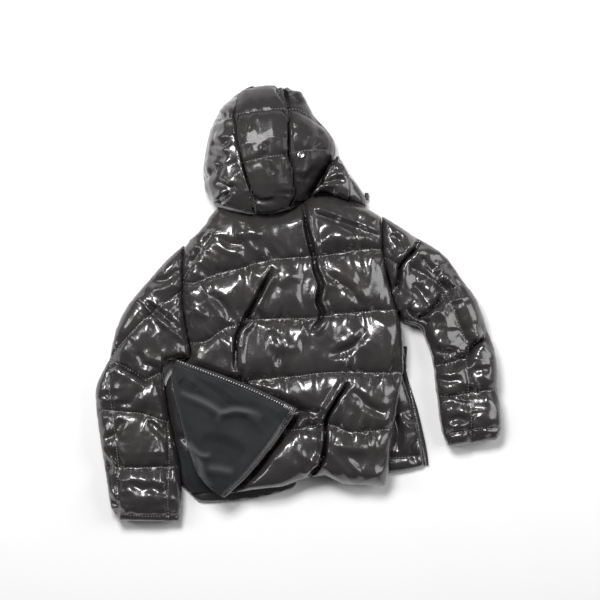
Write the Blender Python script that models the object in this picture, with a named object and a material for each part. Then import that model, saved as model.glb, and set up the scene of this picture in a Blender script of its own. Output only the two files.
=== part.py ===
"""Quilted puffer jacket, laid face down on a flat surface with its hood filled out.

Both side zips are open, and the back's lower left corner is turned over on itself, so that
its plush lining shows. X runs across the jacket, +Y towards the hood, +Z up from the surface
that it lies on. Tables are in millimetres. Left and right are the wearer's, and the jacket is
seen from its back, so the left sleeve is at -X.
"""
import math
from collections import namedtuple

import bmesh
import bpy
from mathutils import Matrix, Vector
from mathutils.bvhtree import BVHTree

# ---- driving sizes, millimetres ------------------------------------------------------------
MM = 0.001
SEAM_GAP = 0.3            # between pieces that are sewn together
CURVE_GAP = 2.2           # at a curved seam, where the facets of two pieces differ
LAYER_GAP = 1.0           # between layers that only lie on each other
FRONT_PUFF = 22           # filling of a front at the middle of a baffle
SLEEVE_PUFF = 24          # filling of each half of a sleeve
EDGE = 9                  # thickness of a padded panel at its sewn edge
SEAM_SHARE = 0.45         # how much of the filling's height is left at a quilting seam
PLUSH = 6                 # plush lining with its backing
TAPE = 2                  # zip tape and hem facing
HOOD_WALL = 24            # wall of the hood
HOOD_SQUARE = 2.35        # 2 is a round arch across the hood, more is a squarer one
FACING_WIDTH = 15
TUCKED = 4                # how far in the fronts lie behind the back at an armhole
FACING_SHARE = 0.3        # at most, of the corner's width near its tip
CORNER_COLUMNS = 8
PROBES = 4                # places probed on each side of a point for what lies under it
ZIP_TAPE_WIDTH = 11
FRONT_ZIP_WIDTH = 26
FRONT_ZIP_ROWS = (182, -110, -362)

NYLON = ("coated_nylon", (0.050, 0.046, 0.045), 0.18)
PLUSH_PILE = ("plush", (0.028, 0.028, 0.030), 0.9)
TAPE_FINISH = ("zip_tape", (0.012, 0.012, 0.013), 0.7)
METAL = ("gunmetal", (0.20, 0.20, 0.20), 0.3)

# A section is one line across a panel, from its left edge to its right edge. bow moves the
# line's middle to the left of that direction. puff is the filling there, and a section with
# seam = 1 is a quilting seam or a cut edge.
Section = namedtuple("Section", "left_x left_y right_x right_y bow puff seam")
# An armhole is the bowed line where a sleeve is sewn to the body.
Armhole = namedtuple("Armhole", "top_x top_y low_x low_y bow")

ARMHOLE_LEFT = Armhole(-254, 128, -238, -118, -12)
ARMHOLE_RIGHT = Armhole(180, 191, 224, -40, -13)


def bowed(left, right, bow, share):
    """The point at share along a line from left to right whose middle is moved by bow."""
    across = right - left
    side = Vector((-across.y, across.x)).normalized()
    return left + across * share + side * (bow * 4 * share * (1 - share))


def armhole_x(armhole, y):
    """Where an armhole crosses the height y."""
    share = (armhole.top_y - y) / (armhole.top_y - armhole.low_y)
    top = Vector((armhole.top_x, armhole.top_y))
    low = Vector((armhole.low_x, armhole.low_y))
    for _ in range(3):
        share += (bowed(top, low, armhole.bow, share).y - y) / (armhole.top_y - armhole.low_y)
    return bowed(top, low, armhole.bow, share).x


def left_edge(y):
    return armhole_x(ARMHOLE_LEFT, y) + SEAM_GAP


def right_edge(y):
    return armhole_x(ARMHOLE_RIGHT, y) - SEAM_GAP


# ---- tables --------------------------------------------------------------------------------
BACK = [
    Section(-206, 174, 178, 190, 0, 16, 1),
    Section(-228, 150, right_edge(160), 160, -4, 26, 0),
    Section(left_edge(118), 118, right_edge(130), 130, 0, 34, 0),
    Section(left_edge(44), 44, right_edge(112), 112, 6, 30, 1),
    Section(left_edge(4), 4, right_edge(44), 44, 10, 34, 0),
    Section(left_edge(-30), -30, right_edge(4), 4, 10, 34, 0),
    Section(left_edge(-74), -74, right_edge(-18), -18, 12, 30, 1),
    Section(left_edge(-116), -116, 224, -66, 6, 34, 0),
    Section(-263, -141, 227, -108, 0, 34, 0),
    Section(-277, -150, 226, -152, -6, 30, 1),
    Section(-274, -205, 220, -190, -4, 34, 0),
    Section(-266, -258, 213, -226, 0, 34, 0),
    Section(-251, -296, 207, -272, 0, 30, 1),
    Section(-235, -345, 198, -325, 0, 34, 0),
    Section(-208, -388, 194, -372, 4, 30, 0),
    Section(-168, -421, 187, -404, 12, 14, 1),
]
FRONT_LEFT = [
    Section(-196, 176, -13, 184, 0, 12, 1),
    Section(left_edge(100) + TUCKED, 100, -13, 100, 0, 22, 0),
    Section(left_edge(44) + TUCKED, 44, -13, 44, 0, 20, 1),
    Section(left_edge(-20) + TUCKED, -20, -13, -20, 0, 22, 0),
    Section(left_edge(-84) + TUCKED, -84, -13, -60, 0, 20, 1),
    Section(left_edge(-116) + TUCKED, -116, -13, -90, 0, 22, 0),
    Section(-272, -149, -13, -120, 0, 22, 0),
    Section(-295, -188, -13, -150, 0, 20, 1),
    Section(-289, -240, -13, -230, 0, 22, 0),
    Section(-276, -300, -13, -290, 0, 20, 1),
    Section(-264, -354, -13, -350, 0, 22, 0),
    Section(-259, -400, -13, -382, 6, 18, 0),
    Section(-222, -437, -13, -404, -10, 9, 1),
]
FRONT_RIGHT = [
    Section(13, 184, 165, 186, 0, 12, 1),
    Section(13, 100, right_edge(110) - TUCKED, 110, 0, 22, 0),
    Section(13, 44, right_edge(60) - TUCKED, 60, 0, 20, 1),
    Section(13, -20, right_edge(0) - TUCKED, 0, 0, 22, 0),
    Section(13, -60, 223, -50, 0, 20, 1),
    Section(13, -110, 228, -96, 0, 22, 0),
    Section(13, -150, 226, -150, 0, 20, 1),
    Section(13, -200, 241, -204, 0, 24, 0),
    Section(13, -240, 251, -236, 0, 20, 1),
    Section(13, -300, 264, -290, 0, 26, 0),
    Section(13, -335, 273, -334, -8, 22, 0),
    Section(13, -362, 276, -362, -20, 9, 1),
]
LEFT_SLEEVE = [
    Section(-295, 92, -262, -123, -6, 24, 0),
    Section(-336, 46, -284, -131, -4, 20, 1),
    Section(-376, -2, -300, -141, 0, 24, 0),
    Section(-405, -59, -305, -156, 4, 24, 0),
    Section(-421, -125, -303, -174, 8, 20, 1),
    Section(-446, -176, -299, -207, 6, 24, 0),
    Section(-451, -218, -293, -248, 8, 20, 1),
    Section(-441, -293, -281, -301, 4, 24, 0),
    Section(-431, -363, -268, -359, 0, 20, 1),
    Section(-423, -410, -264, -407, 0, 22, 0),
    Section(-416, -455, -264, -455, 0, 18, 1),
    Section(-398, -481, -268, -482, 0, 9, 1),
]
RIGHT_SLEEVE = [
    Section(216, 170, 247, -48, -8, 24, 0),
    Section(253, 146, 264, -54, -4, 20, 1),
    Section(288, 126, 274, -66, 0, 24, 0),
    Section(326, 97, 284, -92, 4, 20, 1),
    Section(356, 51, 292, -112, 4, 24, 0),
    Section(389, 7, 296, -130, 4, 24, 0),
    Section(414, -62, 299, -147, 6, 20, 1),
    Section(428, -102, 301, -170, 4, 24, 0),
    Section(435, -150, 303, -190, 4, 24, 0),
    Section(436, -192, 306, -209, 2, 20, 1),
    Section(442, -235, 310, -247, 0, 24, 0),
    Section(444, -279, 318, -291, 0, 18, 1),
    Section(436, -301, 330, -317, 0, 9, 1),
]
# The turned corner: left is the fold, right the zip's edge and then the hem's.
CORNER = [
    Section(-276, -134, -10, -240, 8, 12, 1),
    Section(-282, -158, -28, -266, 6, 16, 0),
    Section(-273, -212, -52, -302, 4, 16, 0),
    Section(-258, -270, -80, -337, 2, 16, 0),
    Section(-240, -328, -112, -375, 0, 16, 0),
    Section(-222, -376, -140, -402, 0, 14, 0),
    Section(-192, -408, -166, -426, 0, 8, 1),
]
# The left front's plush shows beyond the fold, between these heights and for its first columns.
LINING_TOP = -300
LINING_LOW = -425
LINING_COLUMNS = 3
SIDE_ZIP_TOP = -88
SIDE_TAPE_WIDTH = 10
NOTCH_X = 36              # the crease's end in the back's hem
NOTCH_HALF_WIDTH = 30
NOTCH_DEPTH = 34
NOTCH_TOP = -300
NOTCH_FADE = 110
PRESSED_SHARE = 0.45      # of the back's filling, under the turned corner
PRESSED_REACH = 30        # how far beyond the corner's edge the back is still pressed

# One line across the filled-out hood: its edges, its two panel seams and its height. bow moves
# the line's middle towards the hem.
HoodSection = namedtuple("HoodSection", "y bow left seam_left seam_right right height")
HOOD = [
    HoodSection(480, -4, -114, -106, -38, -26, 26),
    HoodSection(468, -4, -140, -134, -32, -4, 56),
    HoodSection(449, 0, -161, -144, -28, 13, 82),
    HoodSection(420, 0, -184, -146, -23, 29, 104),
    HoodSection(394, 0, -197, -144, -21, 54, 116),
    HoodSection(363, 0, -206, -141, -20, 76, 123),
    HoodSection(330, 0, -212, -136, -19, 78, 127),
    HoodSection(295, 0, -217, -129, -14, 59, 126),
    HoodSection(262, 4, -214, -117, -11, 38, 121),
    HoodSection(238, 10, -206, -106, -8, 22, 110),
    HoodSection(224, 26, -188, -104, -22, 10, 90),
]


# The neck seam, from the left shoulder to the right one, along the hood's lower edge and then
# along its side front: x and y.
NECK = [
    (-206, 174), (-192, 206), (-183, 212), (-154, 204), (-121, 196), (-84, 193), (-33, 201),
    (4, 214), (23, 229), (40, 243), (68, 238), (103, 225), (144, 211), (178, 190),
]
YOKE_LOW = 110            # the back's rows above this height follow the neck seam

# The hood's side front and its edge band stand between the hood and the back: a row for each
# line from their upper edge to the neck seam.
StandSection = namedtuple("StandSection", "x upper_y height")
SIDE_FRONT = [
    StandSection(28, 241, 76),
    StandSection(44, 263, 84),
    StandSection(60, 290, 88),
    StandSection(84, 322, 82),
    StandSection(107, 285, 72),
]
EDGE_BAND = [
    StandSection(107.5, 284, 60),
    StandSection(125, 262, 48),
    StandSection(138, 246, 38),
    StandSection(146, 232, 26),
]
CORD_STOP = (152, 238)          # the middle of the elastic cord's stopper
CORD_STOP_RADIUS = 4.5
CORD_STOP_LENGTH = 16
STUD = (1, 320)                 # the ring-shaped press stud, beside the hood's right seam
STUD_RADIUS = 7
STUD_HEIGHT = 3


# ---- how the solids are made ---------------------------------------------------------------
def material(finish):
    name, colour, roughness = finish
    found = bpy.data.materials.get(name)
    if found is None:
        found = bpy.data.materials.new(name)
        found.use_nodes = True
        shader = found.node_tree.nodes["Principled BSDF"]
        shader.inputs["Base Color"].default_value = (*colour, 1)
        shader.inputs["Roughness"].default_value = roughness
        shader.inputs["Metallic"].default_value = 1.0 if finish is METAL else 0.0
    return found


def slab(name, top, bottom, finish):
    """A closed solid between two grids of points, the upper and the lower side of a panel."""
    rows, columns = len(top), len(top[0])
    points = [point * MM for grid in (top, bottom) for row in grid for point in row]

    def at(side, row, column):
        return side * rows * columns + row * columns + column

    faces = []
    for r in range(rows - 1):
        for c in range(columns - 1):
            faces.append((at(0, r, c), at(0, r + 1, c), at(0, r + 1, c + 1), at(0, r, c + 1)))
            faces.append((at(1, r, c), at(1, r, c + 1), at(1, r + 1, c + 1), at(1, r + 1, c)))
    for r in range(rows - 1):
        for c, turned in ((0, False), (columns - 1, True)):
            wall = (at(0, r, c), at(1, r, c), at(1, r + 1, c), at(0, r + 1, c))
            faces.append(wall[::-1] if turned else wall)
    for c in range(columns - 1):
        for r, turned in ((0, True), (rows - 1, False)):
            wall = (at(0, r, c), at(1, r, c), at(1, r, c + 1), at(0, r, c + 1))
            faces.append(wall[::-1] if turned else wall)
    mesh = bpy.data.meshes.new(name)
    mesh.from_pydata(points, [], faces)
    shape = bmesh.new()
    shape.from_mesh(mesh)
    bmesh.ops.recalc_face_normals(shape, faces=shape.faces)
    shape.to_mesh(mesh)
    shape.free()
    mesh.shade_smooth()
    mesh.materials.append(material(finish))
    piece = bpy.data.objects.new(name, mesh)
    bpy.context.scene.collection.objects.link(piece)
    return piece


def rounded(share):
    """The height of a filled channel, 0 at its seams and 1 in the middle."""
    return math.sqrt(max(0.0, 1 - (2 * share - 1) ** 2))


def crowned(share):
    """The height across a panel, 0 at its edges and nearly 1 over most of its width."""
    return max(0.0, 1 - abs(2 * share - 1) ** 5) ** 0.5


def smooth_between(values, row, share):
    """A Catmull-Rom curve through a column of a table."""
    last = len(values) - 1
    a, b, c, d = (values[min(max(k, 0), last)] for k in (row - 1, row, row + 1, row + 2))
    return 0.5 * (2 * b + (c - a) * share + (2 * a - 5 * b + 4 * c - d) * share ** 2
                  + (3 * b - a - 3 * c + d) * share ** 3)


def quilted(sections, across, steps, facing):
    """The plan of a panel and the filling above its sewn edge, as two grids.

    A facing is the width of the last column, along the right edge.
    """
    seams = [k for k, section in enumerate(sections) if section.seam]
    plan, filling = [], []
    for row in range(len(sections) - 1):
        before = max(k for k in seams if k <= row)
        after = min(k for k in seams if k > row)
        last_row = row == len(sections) - 2
        for step in range(steps + (1 if last_row else 0)):
            share = step / steps
            lx, ly, rx, ry, bow, puff = (
                smooth_between([section[k] for section in sections], row, share)
                for k in range(6))
            left, right = Vector((lx, ly)), Vector((rx, ry))
            channel = rounded((row + share - before) / (after - before))
            height = puff * (SEAM_SHARE + (1 - SEAM_SHARE) * channel)
            shares = [0.5 - 0.5 * math.cos(math.pi * k / (across - 1)) for k in range(across)]
            if facing:
                inside = 1 - min(facing / (right - left).length, FACING_SHARE)
                shares = [share * inside for share in shares] + [1.0]
            plan.append([bowed(left, right, bow, s) for s in shares])
            filling.append([height * crowned(s) for s in shares])
    return plan, filling


def height_over(pieces, x, y, reach):
    """The highest point of the pieces below, within reach of a place, in millimetres."""
    highest = 0.0
    down = Vector((0, 0, -1))
    for tree in pieces:
        for step_x in range(-PROBES, PROBES + 1):
            for step_y in range(-PROBES, PROBES + 1):
                step = reach / PROBES
                start = Vector((x + step_x * step, y + step_y * step, 400)) * MM
                hit = tree.ray_cast(start, down)[0]
                if hit is not None:
                    highest = max(highest, hit.z / MM)
    return highest


def surface(piece):
    """A piece's mesh as a tree that rays can be cast at. Its place is in its mesh."""
    mesh = piece.data
    return BVHTree.FromPolygons([v.co for v in mesh.vertices],
                                [p.vertices for p in mesh.polygons])


def neck_y(x):
    """The height of the neck seam at x."""
    for (left_x, left_y), (right_x, right_y) in zip(NECK, NECK[1:]):
        if x <= right_x:
            break
    share = min(max((x - left_x) / (right_x - left_x), 0.0), 1.0)
    return left_y + (right_y - left_y) * share


def shaped(place):
    """Brings the back's upper rows up to the neck seam, and pulls its hem up at the notch.

    The notch is where the lower crease runs out, between two lobes of the hem.
    """
    first = BACK[0]
    straight = first.left_y + (first.right_y - first.left_y) * (
        (place.x - first.left_x) / (first.right_x - first.left_x))
    high = min(max((place.y - YOKE_LOW) / (straight - YOKE_LOW), 0.0), 1.0)
    near = math.exp(-((place.x - NOTCH_X) / NOTCH_HALF_WIDTH) ** 2)
    low = min(max((NOTCH_TOP - place.y) / NOTCH_FADE, 0.0), 1.0)
    return Vector((place.x, place.y + (neck_y(place.x) - straight) * high
                   + NOTCH_DEPTH * near * low))


def panel(name, sections, across, steps, finish, under=(), reach=46, lowest=0.0, pressed=None,
          facing=0, moved=None):
    """A padded panel that lies on the surface, or on the pieces under it."""
    plan, filling = quilted(sections, across, steps, facing)
    if moved:
        plan = [[moved(place) for place in points] for points in plan]
    top, bottom = [], []
    for points, heights in zip(plan, filling):
        bases = [max(lowest, height_over(under, p.x, p.y, reach) + LAYER_GAP) if under else 0.0
                 for p in points]
        if pressed:
            heights = [height * pressed(p) for p, height in zip(points, heights)]
        bottom.append([Vector((p.x, p.y, base)) for p, base in zip(points, bases)])
        top.append([Vector((p.x, p.y, base + EDGE + height))
                    for p, base, height in zip(points, bases, heights)])
    return slab(name, top, bottom, finish), top


def raised(grid, height):
    """A grid of points moved up, for what lies on a panel."""
    return [[point + Vector((0, 0, height)) for point in row] for row in grid]


def columns(grid, first, last, gap=0.0):
    """The columns from first to last of a grid, its first column moved on by a seam gap."""
    cut = [list(row[first:last + 1]) for row in grid]
    for row in cut:
        row[0] = row[0].lerp(row[1], gap / (row[1] - row[0]).length)
    return cut


def strip(name, edge, side, width, height, finish, under=()):
    """A flat tape along a panel's edge, outside it. side is 1 to the left of the edge."""
    inner, outer = [], []
    for k, point in enumerate(edge):
        along = (edge[min(k + 1, len(edge) - 1)] - edge[max(k - 1, 0)]).xy.normalized()
        out = Vector((-along.y, along.x, 0)) * side
        near, far = point + out * SEAM_GAP, point + out * (SEAM_GAP + width)
        for place, line in ((near, inner), (far, outer)):
            low = height_over(under, place.x, place.y, width) + LAYER_GAP if under else 0.0
            line.append(Vector((place.x, place.y, max(place.z, low))))
    bottom = [list(pair) for pair in zip(inner, outer)]
    return slab(name, raised(bottom, height), bottom, finish)


def stand(name, sections, across, finish):
    """A padded piece between the hood and the neck seam, standing on the surface."""
    top, bottom = [], []
    for row in range(len(sections) - 1):
        for share in (0, 0.5) if row < len(sections) - 2 else (0, 0.5, 1):
            x, upper, height = (smooth_between([section[k] for section in sections], row, share)
                                for k in range(3))
            lower = neck_y(x) + CURVE_GAP
            shares = [0.5 - 0.5 * math.cos(math.pi * k / (across - 1)) for k in range(across)]
            ys = [upper + (lower - upper) * s for s in shares]
            bottom.append([Vector((x, y, 0)) for y in ys])
            top.append([Vector((x, y, height * (0.72 + 0.28 * crowned(s))))
                        for y, s in zip(ys, shares)])
    return slab(name, top, bottom, finish)


# ---- fronts, underneath --------------------------------------------------------------------
def build_fronts():
    left, left_top = panel("front_left", FRONT_LEFT, 9, 2, NYLON)
    right, right_top = panel("front_right", FRONT_RIGHT, 9, 2, NYLON)
    half = FRONT_ZIP_WIDTH / 2 - SEAM_GAP
    bottom = [[Vector((x, y, 0)) for x in (-half, half)] for y in FRONT_ZIP_ROWS]
    zip_tape = slab("front_zip", raised(bottom, TAPE), bottom, TAPE_FINISH)

    shown = [row for row in left_top if LINING_TOP > row[0].y > LINING_LOW]
    bottom = raised(columns(shown, 0, LINING_COLUMNS), LAYER_GAP)
    lining = slab("front_left_lining", raised(bottom, PLUSH), bottom, PLUSH_PILE)

    edge = [row[-1] - Vector((0, 0, EDGE / 2)) for row in right_top
            if SIDE_ZIP_TOP > row[-1].y]
    side_zip = strip("side_zip_tape", edge, 1, SIDE_TAPE_WIDTH, TAPE, TAPE_FINISH)
    return [left, right, zip_tape, lining, side_zip]


# ---- back, with its lower left corner turned over ------------------------------------------
def under_the_corner(place):
    """The share of the back's filling that the turned corner's weight leaves, 1 beyond it."""
    top_left, tip = Vector(CORNER[0][:2]), Vector(CORNER[0][2:4])
    low = Vector(CORNER[-1][2:4])
    inside = min((tip - top_left).normalized().cross(top_left - place),
                 (low - tip).normalized().cross(tip - place))
    share = min(max((inside + PRESSED_REACH) / PRESSED_REACH, 0.0), 1.0)
    return 1 - (1 - PRESSED_SHARE) * share * share * (3 - 2 * share)


def build_back(fronts):
    below = [surface(piece) for piece in fronts]
    back, _ = panel("back", BACK, 13, 2, NYLON, below, lowest=FRONT_PUFF + EDGE - 6,
                    pressed=under_the_corner, moved=shaped)
    below = [surface(back)]
    shell, shell_top = panel("corner_shell", CORNER, CORNER_COLUMNS, 2, NYLON, below, reach=36,
                             facing=FACING_WIDTH)
    on_shell = raised(shell_top, SEAM_GAP)
    inside = columns(on_shell, 0, CORNER_COLUMNS - 1)
    slab("corner_lining", raised(inside, PLUSH), inside, PLUSH_PILE)
    facing = columns(on_shell, CORNER_COLUMNS - 1, CORNER_COLUMNS, SEAM_GAP)
    slab("corner_hem_facing", raised(facing, TAPE), facing, NYLON)
    edge = [point - Vector((0, 0, EDGE / 2)) for point in shell_top[0]]
    strip("corner_zip_tape", edge, 1, ZIP_TAPE_WIDTH, TAPE, TAPE_FINISH, below)


# ---- sleeves -------------------------------------------------------------------------------
def build_sleeve(side, armhole, sections, outward):
    first = Section(armhole.top_x + outward * CURVE_GAP, armhole.top_y,
                    armhole.low_x + outward * CURVE_GAP, armhole.low_y, armhole.bow,
                    SLEEVE_PUFF, 1)
    rows = [first] + sections
    under, _ = panel(f"sleeve_{side}_under", rows, 8, 2, NYLON)
    panel(f"sleeve_{side}_upper", rows, 8, 2, NYLON, [surface(under)], reach=12)


# ---- hood ----------------------------------------------------------------------------------
def arch(section, turn, wall):
    """A point of the hood's arch. turn is 0 at its left edge and pi at its right one."""
    centre = (section.left + section.right) / 2
    half = (section.right - section.left) / 2 - wall
    height = max(section.height - wall, 0.0)
    across = -math.cos(turn)
    share = math.copysign(abs(across) ** (2 / HOOD_SQUARE), across)
    return Vector((centre + half * share, section.y - section.bow * (1 - share * share),
                   height * abs(math.sin(turn)) ** (2 / HOOD_SQUARE)))


def turn_at(section, x):
    """The turn at which the hood's outer arch passes over x."""
    share = (2 * x - section.left - section.right) / (section.right - section.left)
    return math.acos(-math.copysign(abs(share) ** (HOOD_SQUARE / 2), share))


def build_hood_panel(name, first_edge, last_edge, across):
    outer, inner = [], []
    for row in range(len(HOOD) - 1):
        for share in (0, 0.5) if row < len(HOOD) - 2 else (0, 0.5, 1):
            section = HoodSection(*(smooth_between([line[k] for line in HOOD], row, share)
                                    for k in range(len(HoodSection._fields))))
            end_wall = min(row + share, len(HOOD) - 1 - row - share) < 1
            turns = [turn_at(section, getattr(section, edge) + gap) for edge, gap in
                     ((first_edge, CURVE_GAP * (first_edge != "left")), (last_edge, 0.0))]
            line = [turns[0] + (turns[1] - turns[0]) * k / (across - 1) for k in range(across)]
            outer.append([arch(section, turn, 0) for turn in line])
            inner.append([arch(section, turn, HOOD_WALL) for turn in line])
            if end_wall:
                for point in inner[-1]:
                    point.z = 0.0
    return slab(name, outer, inner, NYLON)


def build_round(name, radius, length, sides, place, finish):
    """A short turned piece along its own Z, put in place by a matrix."""
    shape = bmesh.new()
    bmesh.ops.create_cone(shape, cap_ends=True, segments=sides, radius1=radius * MM,
                          radius2=radius * MM, depth=length * MM, matrix=place)
    bmesh.ops.bevel(shape, geom=[e for e in shape.edges if len(e.link_faces[0].verts) > 4
                                 or len(e.link_faces[1].verts) > 4],
                    offset=radius * 0.2 * MM, segments=1, affect="EDGES")
    mesh = bpy.data.meshes.new(name)
    shape.to_mesh(mesh)
    shape.free()
    mesh.materials.append(material(finish))
    piece = bpy.data.objects.new(name, mesh)
    bpy.context.scene.collection.objects.link(piece)


def build_hood_hardware(hood_right):
    x, y = STUD
    hit, normal, _, _ = surface(hood_right).ray_cast(Vector((x, y, 400)) * MM, Vector((0, 0, -1)))
    centre = hit + normal * (SEAM_GAP + STUD_HEIGHT / 2) * MM
    turn = Vector((0, 0, 1)).rotation_difference(normal).to_matrix().to_4x4()
    build_round("hood_stud", STUD_RADIUS, STUD_HEIGHT, 20,
                Matrix.Translation(centre) @ turn, METAL)
    centre = Vector((*CORD_STOP, CORD_STOP_RADIUS)) * MM
    build_round("hood_cord_stop", CORD_STOP_RADIUS, CORD_STOP_LENGTH, 12,
                Matrix.Translation(centre) @ Matrix.Rotation(math.pi / 2, 4, "X"), TAPE_FINISH)


# ---- the jacket ----------------------------------------------------------------------------
for old in list(bpy.data.objects):
    bpy.data.objects.remove(old, do_unlink=True)

fronts = build_fronts()
build_back(fronts)
build_sleeve("left", ARMHOLE_LEFT, LEFT_SLEEVE, -1)
build_sleeve("right", ARMHOLE_RIGHT, RIGHT_SLEEVE, 1)
build_hood_panel("hood_left", "left", "seam_left", 6)
build_hood_panel("hood_centre", "seam_left", "seam_right", 6)
hood_right = build_hood_panel("hood_right", "seam_right", "right", 6)
stand("hood_side_front", SIDE_FRONT, 6, NYLON)
stand("hood_edge_band", EDGE_BAND, 5, NYLON)
build_hood_hardware(hood_right)

# The origin is the middle of what the jacket covers, on the surface that it lies on.
pieces = list(bpy.data.objects)
corners = [vertex.co for piece in pieces for vertex in piece.data.vertices]
middle = [(min(c[axis] for c in corners) + max(c[axis] for c in corners)) / 2 for axis in (0, 1)]
for piece in pieces:
    piece.data.transform(Matrix.Translation((-middle[0], -middle[1], 0)))
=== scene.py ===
import math

import bmesh
import bpy
import numpy as np
from mathutils import Matrix, Vector, noise
from mathutils.bvhtree import BVHTree


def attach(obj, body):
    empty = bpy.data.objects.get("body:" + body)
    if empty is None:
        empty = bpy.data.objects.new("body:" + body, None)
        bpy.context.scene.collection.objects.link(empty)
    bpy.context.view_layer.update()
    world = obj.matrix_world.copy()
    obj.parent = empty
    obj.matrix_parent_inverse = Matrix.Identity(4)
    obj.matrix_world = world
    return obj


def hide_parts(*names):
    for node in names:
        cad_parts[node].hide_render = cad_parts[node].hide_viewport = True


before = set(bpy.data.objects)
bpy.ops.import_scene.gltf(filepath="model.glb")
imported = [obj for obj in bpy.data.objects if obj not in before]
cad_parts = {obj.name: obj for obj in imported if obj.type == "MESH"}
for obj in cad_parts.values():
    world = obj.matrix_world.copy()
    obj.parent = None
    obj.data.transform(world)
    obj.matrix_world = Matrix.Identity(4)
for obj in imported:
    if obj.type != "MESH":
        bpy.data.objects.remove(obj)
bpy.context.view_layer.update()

# ---- The back -------------------------------------------------------------------------------
# One padded panel of coated nylon, quilted across. Each channel is filled, and the stitching
# gathers the cloth, so it puckers along every seam. It lies on the two fronts.
MM = 0.001
SEWN_REACH = 3.0 * MM        # what is this near a seam stays where the seam holds it
RIM_GROWN = 2.4 * MM         # the remeshed cloth is drawn out to its seam again by this
TUCKED_UNDER = 6.0 * MM      # how far a panel's edge turns in below
CREASE_KEPT = 0.7            # share of the creases that the filling doesn't smooth out
BODY_COAT = 0.6              # how much of the wet-look coating shows
# Two hood panels get a darker, less coated copy of the body nylon: painted shade.
HOOD_COAT = 0.14             # less on two hood panels, for the look alone: it is one fabric


def smooth_line(points, step=4.0):
    """A curve through points given in millimetres, as points a few millimetres apart."""
    ends = [points[0]] + list(points) + [points[-1]]
    line = []
    for a, b, c, d in zip(ends, ends[1:], ends[2:], ends[3:]):
        a, b, c, d = (np.array(p, float) for p in (a, b, c, d))
        for share in np.arange(0, 1, step / max(np.linalg.norm(c - b), step)):
            line.append(0.5 * (2 * b + (c - a) * share + (2 * a - 5 * b + 4 * c - d) * share ** 2
                               + (3 * b - a - 3 * c + d) * share ** 3))
    line.append(np.array(points[-1], float))
    return np.array(line) * MM


def distance_to(plan, line):
    """How far each point of a plan is from a line, how far along the line, and on which side."""
    starts, steps = line[:-1], np.diff(line, axis=0)
    lengths = np.maximum(np.linalg.norm(steps, axis=1), 1e-9)
    run = np.concatenate([[0], np.cumsum(lengths)])
    best, along, side = np.full(len(plan), 9.0), np.zeros(len(plan)), np.ones(len(plan))
    for k in range(len(starts)):
        away = plan - starts[k]
        share = np.clip((away @ steps[k]) / lengths[k] ** 2, 0, 1)
        gap = np.linalg.norm(away - share[:, None] * steps[k], axis=1)
        near = gap < best
        best[near], along[near] = gap[near], run[k] + share[near] * lengths[k]
        side[near] = np.sign(steps[k][0] * away[near, 1] - steps[k][1] * away[near, 0])
    return best, along, side


def only(piece):
    """Selects one piece alone and makes it the active one."""
    bpy.ops.object.select_all(action="DESELECT")
    piece.select_set(True)
    bpy.context.view_layer.objects.active = piece


def cloth_body(node, name, voxel, open_below=True):
    """A fine, even mesh of a CAD solid, its solid as a tree, and its sewn edge in plan."""
    piece = bpy.data.objects.new(name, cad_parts[node].data.copy())
    bpy.context.scene.collection.objects.link(piece)
    piece.data.materials.clear()
    shape = bmesh.new()
    shape.from_mesh(piece.data)
    bmesh.ops.remove_doubles(shape, verts=shape.verts, dist=0.00002)
    shape.normal_update()
    tree = BVHTree.FromBMesh(shape)
    rim = [[vert.co.xy[:] for vert in edge.verts] for edge in shape.edges
           if min(abs(face.normal.z) for face in edge.link_faces) < 0.12
           < max(face.normal.z for face in edge.link_faces)]
    shape.to_mesh(piece.data)
    shape.free()
    only(piece)
    piece.data.remesh_voxel_size = voxel
    bpy.ops.object.voxel_remesh()
    if open_below:
        shape = bmesh.new()
        shape.from_mesh(piece.data)
        under = [face for face in shape.faces if face.normal.z < -0.75]
        bmesh.ops.delete(shape, geom=under, context="FACES")
        shape.to_mesh(piece.data)
        shape.free()
    return piece, tree, np.array(rim)


def rim_distance(plan, rim):
    """How far each point of a plan is from a solid's sewn edge."""
    best = np.full(len(plan), 9.0)
    for start, end in rim:
        step = end - start
        share = np.clip(((plan - start) @ step) / max(step @ step, 1e-12), 0, 1)
        best = np.minimum(best, np.linalg.norm(plan - start - share[:, None] * step, axis=1))
    return best


def round_up(share):
    """A filled channel's height: 0 at its seam and 1 at its crown."""
    return np.sqrt(np.maximum(0.0, 1 - (1 - np.clip(share, 0, 1)) ** 2))


def points_of(piece, layer="co"):
    values = np.empty(len(piece.data.vertices) * 3)
    piece.data.vertices.foreach_get(layer, values)
    return values.reshape(-1, 3)


def put_points(piece, co):
    piece.data.vertices.foreach_set("co", co.ravel())
    piece.data.update()


def puckers(gap, along, side, size, seed):
    """The gathers that fan out from a stitched seam, uneven in slant, length and height."""
    lift = np.zeros(len(gap))
    for k in np.nonzero(gap < 75 * MM)[0]:
        run, far = along[k] / MM, gap[k] / MM
        way = seed * 7.0 + side[k] * 31.0
        slant = 0.9 * noise.noise(Vector((run / 60.0, way, 3.0)))
        run += slant * far
        phase = 2 * math.pi * run / 33.0 + 5.0 * noise.noise(Vector((run / 44.0, way, 0.0)))
        reach = 27 + 38 * noise.noise(Vector((run / 30.0, way, 5.0)))
        strength = 0.5 + 1.9 * noise.noise(Vector((run / 60.0, way, 9.0)))
        crest = 1 - 2 * abs(math.sin(phase / 2)) ** 0.8
        lift[k] = crest * max(strength, 0.0) * min(far / 4.0, 1.0) * math.exp(
            -(far / max(reach, 8.0)) ** 1.6)
    return lift * size


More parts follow.
